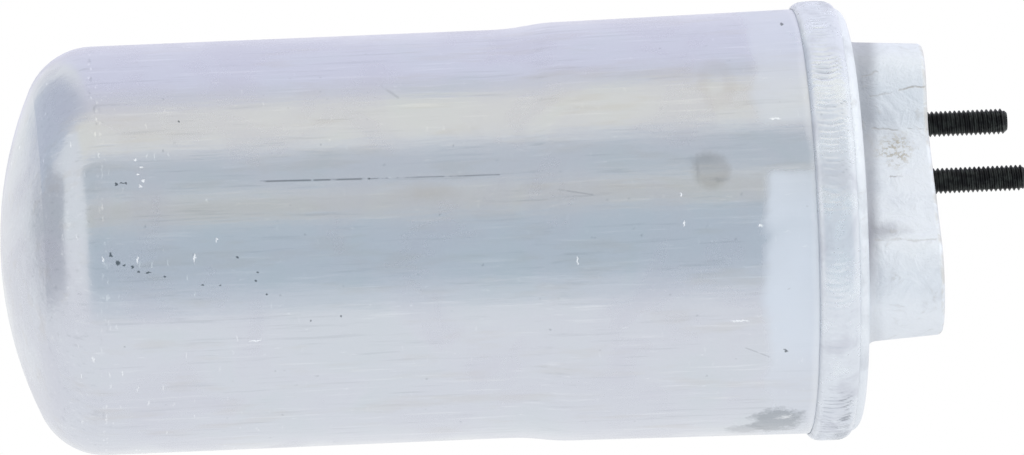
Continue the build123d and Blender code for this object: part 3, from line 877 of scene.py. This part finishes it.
insideFinishes = {
    "tubeAluminium": {
        "nodes": ("pickup_tube", "strainer_collar", "strainer_cap"),
        "metal": (0.70, 0.71, 0.73, 1), "tone": (0.60, 0.61, 0.63, 1), "metallic": 1.0, "roughness": 0.32,
        "scale": 60.0,
    },
    "plateSteel": {
        "nodes": ("lower_plate", "upper_plate"),
        "metal": (0.56, 0.55, 0.52, 1), "tone": (0.44, 0.44, 0.43, 1), "metallic": 1.0, "roughness": 0.42,
        "scale": 90.0,
    },
    "screenMesh": {
        "nodes": ("strainer_screen",),
        "metal": (0.42, 0.42, 0.41, 1), "tone": (0.20, 0.20, 0.20, 1), "metallic": 0.9, "roughness": 0.5,
        "scale": 1800.0,
    },
    "springSteel": {
        "nodes": ("bed_spring",),
        "metal": (0.40, 0.40, 0.42, 1), "tone": (0.30, 0.30, 0.32, 1), "metallic": 1.0, "roughness": 0.35,
        "scale": 120.0,
    },
    "filterFelt": {
        "nodes": ("lower_pad", "upper_pad"),
        "metal": (0.72, 0.70, 0.63, 1), "tone": (0.60, 0.58, 0.51, 1), "metallic": 0.0, "roughness": 0.95,
        "scale": 900.0,
    },
    "desiccantBeads": {
        "nodes": ("desiccant_bed",),
        "metal": (0.62, 0.54, 0.42, 1), "tone": (0.40, 0.33, 0.25, 1), "metallic": 0.0, "roughness": 0.85,
        "scale": 700.0,
    },
}


def dress(nodeName, material):
    piece = nodes[nodeName]
    if not piece.material_slots:
        piece.data.materials.append(material)
    for materialSlot in piece.material_slots:
        materialSlot.material = material


def dressInside(effects):
    for name, finish in insideFinishes.items():
        material = makePlainMaterial(effects, name, finish)
        for nodeName in finish["nodes"]:
            dress(nodeName, material)
    print("inside pieces dressed")


# Studio: white surroundings, soft lamps, and grey cards that only the metal reflects

studio = {
    "worldLevel": 0.85,
    "worldTint": (0.97, 0.98, 1.0, 1),
    "floorSize": 6,
    "floorColour": (0.86, 0.86, 0.87, 1),
    "floorRoughness": 0.9,
    "cardDistance": 1.6,
    "cardCentre": 0.1,
    "cards": {
        # azimuth turns from the camera towards -X, elevation rises towards +Z, both in degrees
        "upperViolet": {"azimuth": (98, 178), "elevation": (-12, 40), "colour": (0.93, 0.92, 1.03, 1)},
        "upperShade": {"azimuth": (86, 100), "elevation": (-26, 40), "colour": (0.84, 0.84, 0.89, 1)},
        "upperCream": {"azimuth": (57, 86), "elevation": (-32, 40), "colour": (1.02, 0.99, 0.90, 1)},
        "darkBand": {"azimuth": (29, 53), "elevation": (-34, 40), "colour": (0.70, 0.74, 0.775, 1)},
        "warmStrip": {"azimuth": (14, 27), "elevation": (-34, 40), "colour": (0.76, 0.75, 0.71, 1)},
        "middleBlue": {"azimuth": (-25, 13), "elevation": (-34, 40), "colour": (0.66, 0.73, 0.78, 1)},
        "lowerShade": {"azimuth": (-38, -25), "elevation": (-34, 40), "colour": (0.82, 0.86, 0.89, 1)},
    },
    # corners as azimuth and elevation: low-left, low-right, high-left, high-right
    "domeBlade": {"corners": ((92, -54), (162, -60), (84, -14), (168, -24)),
                  "colour": (0.70, 0.735, 0.81, 1)},
    # corners as x and y in metres, in the same order
    "underCard": {"height": -1.2, "corners": ((-0.70, -0.27), (0.32, -0.34), (-0.28, 1.34), (0.22, 1.05)),
                  "colour": (0.655, 0.665, 0.70, 1)},
    "lamps": {
        "keySoft": {"azimuth": 60, "elevation": 50, "distance": 1.5, "size": 1.0, "power": 9},
        "fillSoft": {"azimuth": -70, "elevation": 20, "distance": 1.8, "size": 1.2, "power": 5},
    },
}


def towards(azimuth, elevation):
    # 0, 0 looks at the camera's side (-Y)
    turn, rise = math.radians(azimuth), math.radians(elevation)
    return Vector((-math.sin(turn) * math.cos(rise), -math.cos(turn) * math.cos(rise), math.sin(rise)))


def makeWorld():
    world = bpy.data.worlds.new("studioWorld")
    bpy.context.scene.world = world
    world.use_nodes = True
    tree = world.node_tree
    tree.nodes.clear()
    path = tree.nodes.new("ShaderNodeLightPath")
    mirrored = mathNode(tree, "MAXIMUM", path.outputs["Is Glossy Ray"], path.outputs["Is Transmission Ray"])
    seen = mathNode(tree, "MAXIMUM", path.outputs["Is Camera Ray"], mirrored)
    light = addNode(tree, "ShaderNodeBackground", {"Color": studio["worldTint"],
                                                   "Strength": studio["worldLevel"]})
    white = addNode(tree, "ShaderNodeBackground", {"Color": (1, 1, 1, 1), "Strength": 1.0})
    mix = addNode(tree, "ShaderNodeMixShader", {0: seen, 1: light.outputs[0], 2: white.outputs[0]})
    output = tree.nodes.new("ShaderNodeOutputWorld")
    tree.links.new(mix.outputs[0], output.inputs["Surface"])


def makeFloor():
    bpy.ops.mesh.primitive_plane_add(size=studio["floorSize"])
    floor = bpy.context.object
    floor.name = "floor"
    material, tree, shader = newMaterial("studioFloor")
    feed(tree, shader, {"Base Color": studio["floorColour"], "Roughness": studio["floorRoughness"]})
    clear = tree.nodes.new("ShaderNodeBsdfTransparent")
    facing = tree.nodes.new("ShaderNodeNewGeometry").outputs["Backfacing"]
    mix = addNode(tree, "ShaderNodeMixShader", {0: facing, 1: shader.outputs[0], 2: clear.outputs[0]})
    tree.links.new(mix.outputs[0], tree.nodes["Material Output"].inputs["Surface"])
    floor.data.materials.append(material)
    floor.visible_glossy = False


def makeCard(name, corners, colour):
    deselectAll()
    bpy.ops.mesh.primitive_plane_add(size=1)
    card = bpy.context.object
    card.name = name
    for point, corner in zip(card.data.vertices, corners):
        point.co = corner
    material, tree, shader = newMaterial(name)
    tree.nodes.remove(shader)
    glow = addNode(tree, "ShaderNodeEmission", {"Color": colour, "Strength": 1.0})
    tree.links.new(glow.outputs[0], tree.nodes["Material Output"].inputs["Surface"])
    card.data.materials.append(material)
    card.visible_camera = False
    card.visible_diffuse = False
    card.visible_transmission = False
    card.visible_shadow = False


def makeCards():
    centre = Vector((0, 0, studio["cardCentre"]))
    for name, card in studio["cards"].items():
        (first, last), (low, high) = card["azimuth"], card["elevation"]
        # the plane's four vertices come in the order low-left, low-right, high-left, high-right
        corners = [centre + towards(turn, rise) * studio["cardDistance"] / math.cos(math.radians(rise))
                   for rise in (low, high) for turn in (first, last)]
        makeCard(name, corners, card["colour"])
    blade = studio["domeBlade"]
    makeCard("domeBlade", [centre + towards(turn, rise) * studio["cardDistance"]
                           for turn, rise in blade["corners"]], blade["colour"])
    under = studio["underCard"]
    makeCard("underCard", [Vector((x, y, under["height"])) for x, y in under["corners"]], under["colour"])


def makeLamps():
    for name, lamp in studio["lamps"].items():
        outward = towards(lamp["azimuth"], lamp["elevation"])
        bpy.ops.object.light_add(type="AREA", location=outward * lamp["distance"])
        light = bpy.context.object
        light.name = name
        light.data.shape = "DISK"
        light.data.size = lamp["size"]
        light.data.energy = lamp["power"]
        light.rotation_euler = outward.to_track_quat("Z", "Y").to_euler()
        light.visible_glossy = False


def makeStudio():
    makeWorld()
    makeFloor()
    makeCards()
    makeLamps()
    bpy.context.scene.view_settings.view_transform = "Standard"
    print("studio lit")


makeCamera()
effects = {"grain": makeDrawnGrain(), "stainAndShade": makeStainAndShadePatch(), "scratchAndShade": makeScratchAndShadeLine(),
           "speck": makeSpeckMark(), "nicks": makeNickScatter()}
dress("can", makeCanMaterial(effects))
dress("header", makeHeaderMaterial(effects))
dressInside(effects)
makeWeldBead().data.materials.append(makeBeadMaterial(effects))
makeStuds().data.materials.append(makeStudMaterial(effects))
makeStudio()
